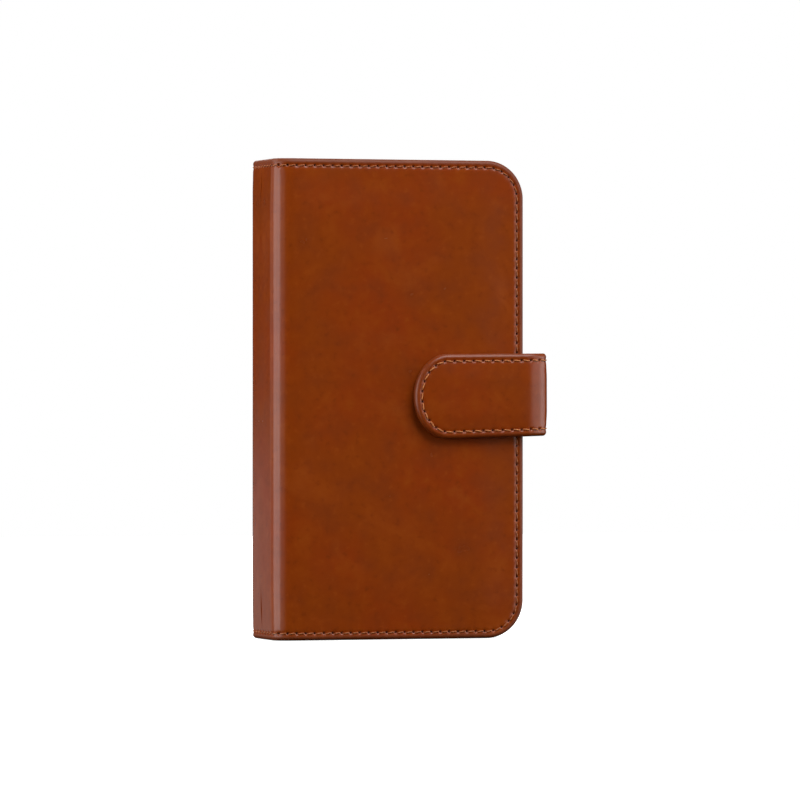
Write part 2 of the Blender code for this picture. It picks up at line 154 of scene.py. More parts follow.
SPINE_MIDDLE = (FRONT + FRONT_RADIUS + BACK - REAR_RADIUS) / 2
BAND_MIDDLE = (TAB_OUTER + bend_depth(*STRAP_BEND) + TAIL_OUTER - BEND_REAR_RADIUS) / 2
LEAD = 4.0 * MM


def smoothstep(value, start, end):
    share = np.clip((value - start) / (end - start), 0.0, 1.0)
    return share * share * (3 - 2 * share)


def unit(rows):
    return rows / np.linalg.norm(rows, axis=-1, keepdims=True)


def lengths_along(points):
    return np.concatenate(([0.0], np.cumsum(np.linalg.norm(np.diff(points, axis=0), axis=1))))


def between(at, known, rows):
    """Rows of pairs, read at the lengths in at, where known has each row's length."""
    return np.stack([np.interp(at, known, rows[:, k]) for k in (0, 1)], axis=-1)


# ---- Sections and cuts ----


class Section:
    """The path of a bent layer in X and Y.

    Each station has a point on the seen face, the direction out of it, and the point on the
    far side where the next layer begins. Lengths are 0 at LEAD from the path's start."""

    def __init__(self, face, out, far):
        self.face, self.out, self.far = (np.array(rows, float) for rows in (face, out, far))
        self.lengths = lengths_along(self.face) - LEAD
        self.total = self.lengths[-1]

    def read(self, rows, s):
        return between(s, self.lengths, rows)

    def place(self, s, z, lift=0.0, share=0.0):
        """Points in space. lift is out of the seen face, share runs from it to the far side."""
        s, z, lift, share = np.broadcast_arrays(s, z, lift, share)
        face, out, far = self.read(self.face, s), unit(self.read(self.out, s)), self.read(self.far, s)
        flat = face + out * (lift * (1 - share))[..., None] + (far - face) * share[..., None]
        return np.stack((flat[..., 0], flat[..., 1], z), axis=-1)

    def turned(self, thickness):
        """The lining's section: it lies on the far side, and its seen face looks inwards."""
        tangent = unit(np.gradient(self.far, axis=0))
        inward = np.stack((-tangent[:, 1], tangent[:, 0]), axis=1)
        if np.sum(inward * self.out) > 0:
            inward = -inward
        return Section(self.far + inward * thickness, inward, self.far)


def section_of(parts):
    """A section from functions of a share, 0 to 1, that give its face, out and far points."""
    rows = []
    for part in parts:
        for share in np.linspace(0.0, 1.0, PART_STEPS + 1):
            row = part(share)
            if not rows or np.linalg.norm(np.subtract(row[0], rows[-1][0])) > SAME_POINT:
                rows.append(row)
    return Section(*(list(column) for column in zip(*rows)))


def run(start, end, out, far_start, far_end):
    """A straight part of a section."""
    start, end, far_start, far_end = (np.array(p, float) for p in (start, end, far_start, far_end))
    return lambda share: (start + (end - start) * share, np.array(out, float),
        far_start + (far_end - far_start) * share)


def soft_section(wall, base, end, side, start, bend, depths):
    """From start on a wall in X, round a tight arc and a soft one, along a base in Y to end.

    side is where the wall looks in X, and the base looks to the front. depths are the layer's
    at the wall and at the base."""
    tight, soft, tight_deg = bend
    begin, middle, finish = (
        math.radians(90 - 90 * side - side * degrees) for degrees in (0, tight_deg, 90))
    join = np.array((math.cos(middle), math.sin(middle)))
    first = np.array((wall - side * tight, base + soft - (tight - soft) * join[1]))
    second = first + (tight - soft) * join

    def arc(centre, radius, start_angle, end_angle, before, after):
        def part(share):
            angle = start_angle + (end_angle - start_angle) * share
            out = np.array((math.cos(angle), math.sin(angle)))
            done = before + (after - before) * share
            point = centre + radius * out
            return point, out, point - out * (depths[0] + (depths[1] - depths[0]) * done)
        return part

    far_wall, far_base = wall - side * depths[0], base + depths[1]
    return section_of([
        run((wall, start), (wall, first[1]), (side, 0), (far_wall, start), (far_wall, first[1])),
        arc(first, tight, begin, middle, 0.0, 0.5),
        arc(second, soft, middle, finish, 0.5, 1.0),
        run((second[0], base), (end, base), (0, -1), (second[0], far_base), (end, far_base)),
    ])


def round_section(wall, base, end, side, start, radius, depths):
    """From start on a wall in X, round a plain corner, along a base that looks to the back."""
    centre = (wall - side * radius, base - radius)
    far_wall, far_base = wall - side * depths[0], base - depths[1]
    far_radii = [max(radius - depth, INNER_FILLET) for depth in depths]
    far_centre = (far_wall - side * far_radii[0], far_base - far_radii[1])

    def corner(share):
        angle = math.radians(90 - 90 * side * (1 - share))
        c, s = math.cos(angle), math.sin(angle)
        return (np.array((centre[0] + radius * c, centre[1] + radius * s)), np.array((c, s)),
            np.array((far_centre[0] + far_radii[0] * c, far_centre[1] + far_radii[1] * s)))

    return section_of([
        run((wall, start), (wall, centre[1]), (side, 0), (far_wall, start), (far_wall, far_centre[1])),
        corner,
        run((centre[0], base), (end, base), (0, 1), (far_centre[0], far_base), (end, far_base)),
    ])


def dense(points):
    """A polyline with points added, so that no gap is longer than CUT_STEP."""
    result = [np.array(points[0], float)]
    for point in points[1:]:
        point, begin = np.array(point, float), result[-1]
        count = max(1, math.ceil(np.linalg.norm(point - begin) / CUT_STEP))
        result += [begin + (point - begin) * k / count for k in range(1, count + 1)]
    return np.array(result)


def arc_points(centre, radius, start_deg, end_deg):
    angles = np.radians(np.linspace(start_deg, end_deg, ARC_STEPS + 1))
    return [(centre[0] + radius * math.cos(a), centre[1] + radius * math.sin(a)) for a in angles]


def round_cut(length, bottom, top, radius):
    """A cut with an open start, two round corners at its end, and straight sides."""
    points = [(0.0, bottom)]
    points += arc_points((length - radius, bottom + radius), radius, -90, 0)
    points += arc_points((length - radius, top - radius), radius, 0, 90)
    points.append((0.0, top))
    return dense(points)


def cover_cut(section):
    return round_cut(section.total, 0.0, HEIGHT, CORNER_RADIUS)


def tail_cut(section):
    """The strap's rear half: open at the middle of the band, nearly square at the tail's end."""
    return round_cut(section.total, BAND_LOW, BAND_HIGH, TAIL_CORNER_RADIUS)


def strap_edges(x):
    """Lowest and highest Z of the strap at x: it widens and falls a little to its end."""
    share = np.clip((x - TAB_END) / (STRAP_OUTER - TAB_END), 0.0, 1.0)
    band_centre, band_half = (BAND_LOW + BAND_HIGH) / 2, (BAND_HIGH - BAND_LOW) / 2
    centre = MIDDLE + TAB_END_RISE + (band_centre - MIDDLE - TAB_END_RISE) * share
    half = TAB_END_HALF + (band_half - TAB_END_HALF) * share
    return centre - half, centre + half


def tab_cut(section):
    """The strap's front half: open at the middle of the band, a half oval at the tab's end."""
    s_turn = section.total - TAB_END_LENGTH
    s = np.linspace(0.0, s_turn, 200)
    bottom, top = strap_edges(section.read(section.face, s)[:, 0])
    low_z, high_z = strap_edges(TAB_END + TAB_END_LENGTH)
    centre, half = (low_z + high_z) / 2, (high_z - low_z) / 2
    angles = np.linspace(-math.pi / 2, math.pi / 2, 200)[1:-1]
    end = [(s_turn + TAB_END_LENGTH * math.cos(a), centre + half * math.sin(a)) for a in angles]
    return dense(list(zip(s, bottom)) + end + list(zip(s, top))[::-1])


def normals_of(cut):
    """The direction into the sheet at each point of its cut."""
    tangent = unit(np.gradient(cut, axis=0))
    return np.stack((-tangent[:, 1], tangent[:, 0]), axis=1)


def inside(cut, inset):
    return cut + normals_of(cut) * inset


class Edge:
    """A cut's edge, divided evenly along its seam."""

    def __init__(self, cut, pitch, seam):
        self.cut, self.seam, self.cut_inward = cut, seam, normals_of(cut)
        self.cut_along = lengths_along(cut + self.cut_inward * seam)
        length = self.cut_along[-1]
        self.stitches = max(2, round(length / pitch))
        self.pitch = length / self.stitches
        self.along = np.linspace(0.0, length, self.stitches * FINE_PER_STITCH + 1)
        self.points, self.inward = self.read(self.along)

    def read(self, along):
        """Points of the cut and the directions into the sheet, at lengths along the seam."""
        return (between(along, self.cut_along, self.cut),
            unit(between(along, self.cut_along, self.cut_inward)))

    def ring(self, inset, ratio=1):
        return (self.points + self.inward * inset)[::ratio]


# ---- Relief ----


NEEDLE_RADIUS = 0.34 * MM
GROOVE_WIDTH = 0.75 * MM
PUCKER, PUCKER_WIDTH = 0.04 * MM, 1.1 * MM
CROWN_GAP = 0.5 * MM
WAVE_START = 6 * MM
WAVE_SIZE, RIPPLE_SIZE, RIPPLE_SHARE = 26 * MM, 9 * MM, 0.3


def unevenness(points, size, seed):
    """Smooth random heights from -1 to 1 with bumps about size across."""
    flat = points.reshape(-1, 2)
    values = [noise.noise(Vector((p[0] / size, p[1] / size, seed))) for p in flat]
    return np.array(values).reshape(points.shape[:-1])


def needle_mask(edge, inset, along):
    """1 in the middle of each needle hole, falling to 0 outside it."""
    phase = (along / edge.pitch) % 1.0 - 0.5
    distance = np.hypot(phase * edge.pitch, inset - edge.seam)
    return np.exp(-(distance / NEEDLE_RADIUS) ** 3)


class Relief:
    """How far a sheet's seen face stands out of its section.

    It rises to meeting where two sheets meet, and to crown beyond crown_from, over crown_over
    along s and crown_width across. bulge is added before that, wave is unevenness, groove the
    dip along the seam, and hole a needle hole's depth."""

    def __init__(self, crown, crown_from=0.0, crown_over=1.0 * MM, wave=0.06 * MM, seed=0.0,
            groove=0.17 * MM, hole=0.45 * MM, crown_width=9.0 * MM, bulge=0.0, meeting=0.0):
        self.crown, self.crown_from, self.crown_over = crown, crown_from, crown_over
        self.crown_width, self.bulge, self.meeting = crown_width, bulge, meeting
        self.wave, self.seed, self.groove, self.hole = wave, seed, groove, hole

    def __call__(self, edge, flat, inset, along=None):
        s = flat[..., 0]
        inner = smoothstep(inset, edge.seam + CROWN_GAP, edge.seam + self.crown_width)
        share = smoothstep(s, self.crown_from, self.crown_from + self.crown_over)
        lift = inner * (self.meeting + (self.crown - self.meeting) * share)
        if self.bulge:
            lift = lift + self.bulge * inner * (1 - smoothstep(s, 0.0, self.crown_from))
        wave = self.wave * inner * smoothstep(s, 0.0, WAVE_START)
        lift = lift + wave * unevenness(flat, WAVE_SIZE, self.seed)
        lift = lift + RIPPLE_SHARE * wave * unevenness(flat, RIPPLE_SIZE, self.seed + 5)
        if self.groove:
            lift = lift - self.groove * np.exp(-((inset - edge.seam) / GROOVE_WIDTH) ** 2)
        if along is not None and self.hole:
            near = np.exp(-((inset - edge.seam) / PUCKER_WIDTH) ** 2)
            lift = lift + PUCKER * near * np.cos(2 * math.pi * along / edge.pitch)
            lift = lift - self.hole * needle_mask(edge, inset, along)
        return lift


class PocketRelief(Relief):
    """A thin panel: a raised hem at its mouth, a pressed line beside it, and the seam's dip."""

    HEM, HEM_FROM, HEM_TO, MOUTH_FROM, MOUTH_TO = mm(0.12, 2.2, 3.2, -0.1, 0.4)
    PRESSED, PRESSED_AT, PRESSED_WIDTH = mm(0.12, 1.5, 0.25)
    SEED_PER_METRE = 900

    def __init__(self, length):
        super().__init__(0.0, wave=0.03 * MM, groove=0.10 * MM, hole=0.0,
            seed=length * self.SEED_PER_METRE)

    def __call__(self, edge, flat, inset, along=None):
        s = flat[..., 0]
        mouth = smoothstep(s, self.MOUTH_FROM, self.MOUTH_TO)
        hem = self.HEM * (1 - smoothstep(s, self.HEM_FROM, self.HEM_TO)) * mouth
        pressed = self.PRESSED * np.exp(-((s - self.PRESSED_AT) / self.PRESSED_WIDTH) ** 2)
        return super().__call__(edge, flat, inset, along) + hem - pressed


SKIN_RELIEF = dict(bulge=0.25 * MM, meeting=0.12 * MM)
STRAP_RELIEF = dict(wave=0.04 * MM, crown_width=6.0 * MM, meeting=0.22 * MM)
LINING_RELIEF = dict(groove=0.12 * MM, hole=0.2 * MM)


# ---- Meshes ----


def with_third(flat, value):
    """Flat pairs with a third coordinate, the depth below the seen face."""
    return np.concatenate((flat, np.full((*flat.shape[:-1], 1), value)), axis=-1)


def put(name, data):
    item = bpy.data.objects.new(name, data)
    bpy.context.scene.collection.objects.link(item)
    return item


class Shape:
    """Points and faces of one piece, with the place of each point on its flat sheet."""

    ATTRIBUTES = (("sheet", "FLOAT_VECTOR", "vector"), ("needle", "FLOAT", "value"),
        ("edge", "FLOAT", "value"))

    def __init__(self):
        self.points, self.faces = [], []
        self.values = {"sheet": [], "needle": [], "edge": []}
        self.count = 0

    def add(self, points, sheet, needle=0.0, edge=0.0):
        points = np.asarray(points, float).reshape(-1, 3)
        self.points.append(points)
        self.values["sheet"].append(np.asarray(sheet, float).reshape(-1, 3))
        for name, value in (("needle", needle), ("edge", edge)):
            self.values[name].append(np.broadcast_to(value, len(points)).astype(float))
        first, self.count = self.count, self.count + len(points)
        return np.arange(first, self.count)

    def strip(self, a, b):
        for k in range(len(a) - 1):
            self.faces.append((a[k], a[k + 1], b[k + 1], b[k]))

    def tube(self, a, b):
        self.strip(np.append(a, a[0]), np.append(b, b[0]))

    def fan(self, fine, coarse):
        """Faces between a finely divided row and one with a point at every COARSE_RATIO-th."""
        for k in range(len(coarse) - 1):
            part = fine[k * COARSE_RATIO:(k + 1) * COARSE_RATIO + 1]
            self.faces.append((coarse[k], coarse[k + 1], *part[::-1]))

    def build(self, name, material, sharp_deg):
        mesh = bpy.data.meshes.new(name)
        faces = [tuple(int(v) for v in face) for face in self.faces]
        mesh.from_pydata([tuple(p) for p in np.concatenate(self.points)], [], faces)
        for key, kind, field in self.ATTRIBUTES:
            values = np.concatenate(self.values[key]).astype(np.float32)
            mesh.attributes.new(key, kind, "POINT").data.foreach_set(field, values.ravel())
        shape = bmesh.new()
        shape.from_mesh(mesh)
        loose = [v for v in shape.verts if not v.link_faces]
        bmesh.ops.delete(shape, geom=loose, context="VERTS")
        bmesh.ops.holes_fill(shape, edges=[e for e in shape.edges if e.is_boundary], sides=0)
        bmesh.ops.recalc_face_normals(shape, faces=shape.faces)
        shape.to_mesh(mesh)
        shape.free()
        mesh.shade_smooth()
        mesh.set_sharp_from_angle(angle=math.radians(sharp_deg))
        mesh.materials.append(material)
        return put(name, mesh)


ROUNDING_DEGS = (20, 42, 64, 86)
ROUNDING_DROP = 0.8
RIM_SHARES = (0.35, 0.6, 0.85)


def rim_rows(depth, rounding, hem, paint):
    """The rim from the seen face round to the far side: (inset, lift, share, edge colour)."""
    drop = -rounding * ROUNDING_DROP
    rows = []
    for degrees in ROUNDING_DEGS:
        a = math.radians(degrees)
        rows.append((rounding * (1 - math.sin(a)), drop * (1 - math.cos(a)), 0.0,
            paint * max(0.0, (degrees - 60) / 40)))
    rows += [(0.0, drop, share, paint) for share in RIM_SHARES]
    rows += [(0.12 * MM, drop, 0.95, paint), (0.35 * MM, 0.0, 0.99, paint), (hem, 0.0, 0.99, paint)]
    rows.append((hem + 0.1 * MM, -depth, 0.0, 0.0))
    return rows


def coons(bottom, top, side):
    """A grid between three edges: bottom and top are equally long, side joins their ends."""
    columns, rows = len(bottom), len(side)
    v = np.linspace(0.0, 1.0, rows)[None, :, None]
    u = (np.linspace(0.0, 1.0, columns) ** 2)[:, None, None]
    grid = (1 - v) * bottom[:, None, :] + v * top[:, None, :]
    straight = (1 - v) * bottom[-1][None, None, :] + v * top[-1][None, None, :]
    return grid + u * (side[None, :, :] - straight)


class Hole:
    """A round-cornered window through a sheet, in the sheet's flat cut."""

    MARGIN = 2.0 * MM

    def __init__(self, centre, width, tall, radius):
        self.centre, self.width, self.tall, self.radius = np.array(centre), width, tall, radius

    def reach(self, angle, grow):
        """Distance from the centre to the window's edge in one direction."""
        w, h, r = self.width / 2 + grow, self.tall / 2 + grow, self.radius + grow
        c, s = abs(math.cos(angle)), abs(math.sin(angle))
        if c * h > s * w and s * w / c <= h - r:
            return w / c
        if c * h <= s * w and c * h / s <= w - r:
            return h / s
        x, y = w - r, h - r
        along = c * x + s * y
        return along + math.sqrt(max(0.0, along * along - (x * x + y * y - r * r)))

    def ring(self, angles, grow):
        return np.array([self.centre + self.reach(a, grow) * np.array((math.cos(a), math.sin(a)))
            for a in angles])

    def cells(self, s, z):
        """The grid's columns and rows that the window takes away."""
        reach = np.array((self.width / 2 + self.MARGIN, self.tall / 2 + self.MARGIN))
        (s_from, z_from), (s_to, z_to) = self.centre - reach, self.centre + reach
        return (int(np.searchsorted(s, s_from)) - 1, int(np.searchsorted(s, s_to)),
            int(np.searchsorted(z, z_from)) - 1, int(np.searchsorted(z, z_to)))


class Sheet:
    """A closed sheet in the making: a grid inside, rings along its edge, and the same behind."""

    PAINT_SHARE, PAINT_FROM, PAINT_TO = 0.6, 0.6 * MM, 2.1 * MM
    RIM_DEPTH = 3 * MM
    OVAL_CORNER = 0.09
    STRAIGHT = 0.02 * MM

    def __init__(self, section, edge, relief, depth, paint):
        self.section, self.edge, self.relief, self.depth, self.paint = section, edge, relief, depth, paint
        self.shape = Shape()
        self.tree = kdtree.KDTree(len(edge.cut))
        for k, point in enumerate(edge.cut):
            self.tree.insert((point[0], point[1], 0.0), k)
        self.tree.balance()

    def ring(self, inset, lift, share, colour):
        """A ring along the edge. Where lift is None, it lies on the seen face with its relief."""
        flat, along, needle = self.edge.ring(inset), self.edge.along, 0.0
        if lift is None:
            insets = np.full(len(flat), inset)
            lift = self.relief(self.edge, flat, insets, along)
            # The needle mask tells the material where the holes are; it paints shade into them and
            # roughens them.
            if self.relief.hole:
                needle = needle_mask(self.edge, insets, along)
        points = self.section.place(flat[:, 0], flat[:, 1], lift, share)
        margin = self.PAINT_SHARE * self.paint
        margin *= float(1 - smoothstep(inset, self.PAINT_FROM, self.PAINT_TO))
        sheet = with_third(flat, share * self.RIM_DEPTH)
        return self.shape.add(points, sheet, needle, max(colour, margin))

    def level(self, flat, lift, colour):
        points = self.section.place(flat[:, 0], flat[:, 1], lift)
        return self.shape.add(points, with_third(flat, -lift), 0.0, colour)

    def grid(self, inset, oval):
        """Flat points inside the rings. An oval end has its grid's corners on its curve."""
        outer = self.edge.ring(inset, COARSE_RATIO)
        count = len(outer)
        if oval:
            corner = int(count * 0.5 - count * self.OVAL_CORNER)
        else:
            corner = int(np.argmax(outer[:, 0] > outer[:, 0].max() - self.STRAIGHT))
            corner = max(2, min(corner, (count - 3) // 2))
        return coons(outer[:corner + 1], outer[::-1][:corner + 1], outer[corner:count - corner])

    def surface(self, flat, seen, hole):
        """The inner grid. Returns its outer points, and the points and places round a hole."""
        lift = -self.depth
        if seen:
            distance = [self.tree.find((p[0], p[1], 0.0))[2] for p in flat.reshape(-1, 2)]
            lift = self.relief(self.edge, flat, np.array(distance).reshape(flat.shape[:2]))
        points = self.section.place(flat[..., 0], flat[..., 1], lift)
        sheet = with_third(flat, 0.0 if seen else self.depth)
        index = self.shape.add(points, sheet).reshape(flat.shape[:2])
        outermost = np.concatenate((index[:, 0], index[-1, 1:], index[:-1, -1][::-1]))
        if hole is None:
            for a, b in zip(index, index[1:]):
                self.shape.strip(a, b)
            return outermost, None, None
        columns, rows = index.shape
        i0, i1, j0, j1 = hole.cells(flat[:, rows // 2, 0], flat[columns // 2, :, 1])
        for i in range(columns - 1):
            for j in range(rows - 1):
                if not (i0 <= i < i1 and j0 <= j < j1):
                    self.shape.strip(index[i, j:j + 2], index[i + 1, j:j + 2])
        loop = [(i, j0) for i in range(i0, i1)] + [(i1, j) for j in range(j0, j1)]
        loop += [(i, j1) for i in range(i1, i0, -1)] + [(i0, j) for j in range(j1, j0, -1)]
        i, j = np.array(loop).T
        return outermost, index[i, j], flat[i, j]

    def window(self, hole, front, back, loop):
        """The rim of a hole, from the seen face's open loop to the far side's."""
        lip, collar, dip = mm(0.9, 1.1, 0.02)
        from_centre = loop - hole.centre
        angles = np.arctan2(from_centre[:, 1], from_centre[:, 0])
        rows = [front]
        for share in (0.3, 0.6, 0.85):
            flat = loop + (hole.ring(angles, collar) - loop) * share
            rows.append(self.level(flat, -dip * share, 0.0))
        profile = [(collar, -dip, 0.0)]
        for degrees in (15, 35, 55, 75, 90):
            a = math.radians(degrees)
            profile.append((lip * (1 - math.sin(a)), -lip * 0.7 * (1 - math.cos(a)), degrees / 90))
        profile += [(grow * MM, lift * MM, 1.0)
            for grow, lift in ((0.0, -1.5), (0.0, -2.75), (0.2, -2.8), (0.2, -1.3))]
        rows += [self.level(hole.ring(angles, grow), lift, colour) for grow, lift, colour in profile]
        rows.append(back)
        for a, b in zip(rows, rows[1:]):
            self.shape.tube(a, b)


def sheet_piece(name, section, cut, pitch, relief, depth, material, *, rings, rounding, hem,
        grid_inset, seam=SEAM_INSET, hole=None, oval=False, paint=1.0):
    """A closed leather, lining or foam sheet. Returns its object and its edge."""
    edge = Edge(cut, pitch, seam)
    sheet = Sheet(section, edge, relief, depth, paint)
    flat = sheet.grid(grid_inset, oval)
    inner, front_loop, loop = sheet.surface(flat, True, hole)
    rim_start = rounding * (1 - math.sin(math.radians(ROUNDING_DEGS[0]))) + CUT_STEP
    rows = [(inset, None, 0.0, 0.0) for inset in rings if inset > rim_start]
    circles = [sheet.ring(*row) for row in rows + rim_rows(depth, rounding, hem, paint)]
    sheet.shape.fan(circles[0], inner)
    for a, b in zip(circles, circles[1:]):
        sheet.shape.strip(a, b)
    inner, back_loop, _ = sheet.surface(flat, False, hole)
    sheet.shape.fan(circles[-1], inner)
    if hole is not None:
        sheet.window(hole, front_loop, back_loop, loop)
    return sheet.shape.build(name, material, sharp_deg=40), edge


STITCH_SLANT = math.radians(9)
STITCH_STEPS, STITCH_SIDES = 12, 10
STITCH_ARCH, STITCH_DIP = 0.10 * MM, 0.34 * MM
PLY_DEPTH, PLY_TWIST = 0.16, 3.4
STITCH_SHIFT = 0.01


def stitch_row(name, section, edge, numbers, material, *, length, radius, height, stack=None):
    """Twisted threads between the needle holes. numbers says which stitches of the seam exist."""
    point, inward = edge.read(np.array(numbers) * edge.pitch)
    point = point + inward * edge.seam
    tangent = np.stack((inward[:, 1], -inward[:, 0]), axis=-1)
    axis = tangent * math.cos(STITCH_SLANT) + inward * math.sin(STITCH_SLANT)
    across = -tangent * math.sin(STITCH_SLANT) + inward * math.cos(STITCH_SLANT)
    t = np.linspace(-1.0, 1.0, STITCH_STEPS + 1)
    profile = np.sqrt(np.clip(1 - np.abs(t) ** 3.5, 0.0, 1.0)) * 0.96 + 0.04
    arch = height + STITCH_ARCH * t * t - (STITCH_DIP + STITCH_ARCH) * np.abs(t) ** 6
    angle = np.linspace(0.0, 2 * math.pi, STITCH_SIDES, endpoint=False)
    ply = 1 + PLY_DEPTH * np.cos(2 * (angle[None, :] - PLY_TWIST * t[:, None]))
    side = radius * profile[:, None] * ply * np.cos(angle)[None, :]
    up = radius * profile[:, None] * ply * np.sin(angle)[None, :]
    flat = (point[:, None, None, :] + axis[:, None, None, :] * (t * length / 2)[None, :, None, None]
        + across[:, None, None, :] * side[None, :, :, None])
    lift = np.broadcast_to(arch[None, :, None] + up[None], flat.shape[:-1])
    if stack is not None:
        lift = lift + stack(section, point)[:, None, None]
    points = section.place(flat[..., 0], flat[..., 1], lift)
    sheet = np.stack(np.broadcast_arrays(t[:, None] * length / 2, side, up), axis=-1)
    shape = Shape()
    for k in range(len(point)):
        index = shape.add(points[k], sheet + k * STITCH_SHIFT).reshape(STITCH_STEPS + 1, STITCH_SIDES)
        for a, b in zip(index, index[1:]):
            shape.tube(a, b)
        shape.faces += [tuple(index[0]), tuple(index[-1][::-1])]
    return shape.build(name, material, sharp_deg=60)


# ---- Materials ----


class Nodes:
    """Short forms for node trees."""

    MIX_COLOURS = (6, 7)
    MIX_RESULT = 2

    def __init__(self, name):
        self.material = bpy.data.materials.new(name)
        self.material.use_nodes = True
        self.tree = self.material.node_tree
        self.shader = self.tree.nodes["Principled BSDF"]

    def add(self, kind, inputs=(), **settings):
        """A new node. inputs are pairs of a socket and a value, colour or link."""
        node = self.tree.nodes.new(kind)
        for key, value in settings.items():
            setattr(node, key, value)
        for socket, value in inputs:
            self.fill(node.inputs[socket], value)
        return node

    def fill(self, socket, value):
        if isinstance(value, (int, float, tuple)):
            socket.default_value = (*value, 1.0) if isinstance(value, tuple) else value
        else:
            self.tree.links.new(value, socket)

    def sheet(self):
        return self.add("ShaderNodeAttribute", attribute_name="sheet").outputs["Vector"]

    def place(self):
        return self.add("ShaderNodeTexCoord").outputs["Object"]

    def value(self, name):
        return self.add("ShaderNodeAttribute", attribute_name=name).outputs["Fac"]

    def noise(self, vector, scale, detail=3.0, roughness=0.55, distortion=0.0):
        return self.add("ShaderNodeTexNoise", (
            ("Vector", vector), ("Scale", scale), ("Detail", detail), ("Roughness", roughness),
            ("Distortion", distortion))).outputs["Fac"]

    def cells(self, vector, scale):
        return self.add("ShaderNodeTexVoronoi", (("Vector", vector), ("Scale", scale)),
            feature="F1").outputs["Distance"]

    def spread(self, value, low_value, high_value, to_low=0.0, to_high=1.0):
        return self.add("ShaderNodeMapRange", (
            ("Value", value), ("From Min", low_value), ("From Max", high_value),
            ("To Min", to_low), ("To Max", to_high)),
            interpolation_type="SMOOTHSTEP").outputs["Result"]

    def mix(self, share, a, b):
        node = self.add("ShaderNodeMix", (("Factor", share),), data_type="RGBA")
        for position, colour in zip(self.MIX_COLOURS, (a, b)):
            self.fill(node.inputs[position], colour)
        return node.outputs[self.MIX_RESULT]

    def math(self, operation, a, b):
        return self.add("ShaderNodeMath", ((0, a), (1, b)), operation=operation).outputs[0]

    def bump(self, height, strength, distance, normal=None):
        inputs = [("Height", height), ("Strength", strength), ("Distance", distance)]
        if normal is not None:
            inputs.append(("Normal", normal))
        return self.add("ShaderNodeBump", inputs).outputs["Normal"]

    def set(self, **values):
        for key, value in values.items():
            self.fill(self.shader.inputs[key.replace("_", " ")], value)
        return self.material


def scaled(colour, share):
    return tuple(v * share for v in colour)


LEATHER_BASE = (0.254, 0.0415, 0.0022)
LEATHER_RED = (0.268, 0.0355, 0.0020)
LEATHER_DARK = (0.195, 0.0300, 0.0018)
LEATHER_PALE = (0.310, 0.0560, 0.0048)
LEATHER_EDGE = (0.125, 0.0240, 0.0022)
# Painted shade: a near-black colour laid into the needle holes, on top of their modelled dips.
NEEDLE_HOLE_SHADE = (0.060, 0.0135, 0.0018)


def waxed_leather(name, shine=0.235, grain=1.0, tint=1.0):
    """Smooth waxed leather with soft clouds of colour, fine pores and a polished face, and painted shade
    in its needle holes.
    """
    n = Nodes(name)
    at = n.sheet()
    base, red, dark, pale = (scaled(colour, tint) for colour in
        (LEATHER_BASE, LEATHER_RED, LEATHER_DARK, LEATHER_PALE))
    broad = n.noise(at, 30.0, 2.0, 0.5)
    patch = n.noise(at, 110.0, 3.0, 0.5)
    mottle = n.noise(at, 380.0, 3.0, 0.6)
    clouds = n.noise(at, 62.0, 4.0, 0.55, 0.6)
    colour = n.mix(n.spread(broad, 0.35, 0.70), base, red)
    colour = n.mix(n.spread(patch, 0.45, 0.95), colour, dark)
    colour = n.mix(n.spread(patch, 0.50, 0.10), colour, pale)
    colour = n.mix(n.spread(clouds, 0.50, 0.80), colour, pale)
    colour = n.mix(n.spread(mottle, 0.46, 0.20, 0.0, 0.7), colour, pale)
    speckle = n.mix(n.spread(mottle, 0.52, 0.85), colour, dark)
    colour = n.mix(n.value("edge"), speckle, LEATHER_EDGE)
    # Painted shade: the needle holes are darkened in the colour.
    colour = n.mix(n.spread(n.value("needle"), 0.25, 0.75), colour, NEEDLE_HOLE_SHADE)
    rough = n.spread(patch, 0.25, 0.75, shine - 0.03, shine + 0.04)
    rough = n.math("ADD", rough, n.spread(n.value("edge"), 0.0, 0.6, 0.0, 0.30))
    rough = n.math("ADD", rough, n.spread(n.value("needle"), 0.02, 0.3, 0.0, 0.5))
    pores = n.spread(n.noise(at, 2600.0, 1.0), 0.2, 0.5)
    normal = n.bump(pores, 0.05 * grain, 0.02 * MM)
    normal = n.bump(n.noise(at, 530.0, 1.0), 0.06 * grain, 0.05 * MM, normal)
    return n.set(Base_Color=colour, Roughness=rough, Normal=normal, Specular_IOR_Level=0.42)


def lining_material(name, colour, pale):
    """Napped microfibre, with painted shade in its needle holes."""
    n = Nodes(name)
    at = n.sheet()
    cloud = n.noise(at, 90.0, 4.0, 0.6)
    nap = n.noise(at, 2400.0, 5.0, 0.7, 1.5)
    shade = n.mix(n.spread(cloud, 0.3, 0.7), colour, pale)
    shade = n.mix(n.spread(nap, 0.35, 0.75), shade, scaled(colour, 0.6))
    # Painted shade: the needle holes are darkened in the colour.
    shade = n.mix(n.spread(n.value("needle"), 0.25, 0.75), shade, NEEDLE_HOLE_SHADE)
    return n.set(Base_Color=shade, Roughness=n.spread(nap, 0.3, 0.7, 0.78, 0.95),
        Normal=n.bump(nap, 0.35, 0.06 * MM), Sheen_Weight=0.35, Sheen_Roughness=0.4,
        Specular_IOR_Level=0.2)


def thread_material(name, colour):
    """Twisted polyester thread with a slight lustre."""
    n = Nodes(name)
    at = n.sheet()
    twist = n.add("ShaderNodeTexWave", (("Vector", at), ("Scale", 900.0), ("Distortion", 1.0)),
        wave_type="BANDS", bands_direction="DIAGONAL").outputs["Fac"]
    shade = n.mix(n.spread(twist, 0.1, 0.9), scaled(colour, 0.72), colour)
    shade = n.mix(n.spread(n.noise(at, 70.0, 2.0), 0.3, 0.7), shade, scaled(colour, 0.85))
    return n.set(Base_Color=shade, Roughness=n.spread(twist, 0.0, 1.0, 0.45, 0.6),
        Normal=n.bump(twist, 0.3, 0.04 * MM), Specular_IOR_Level=0.3)


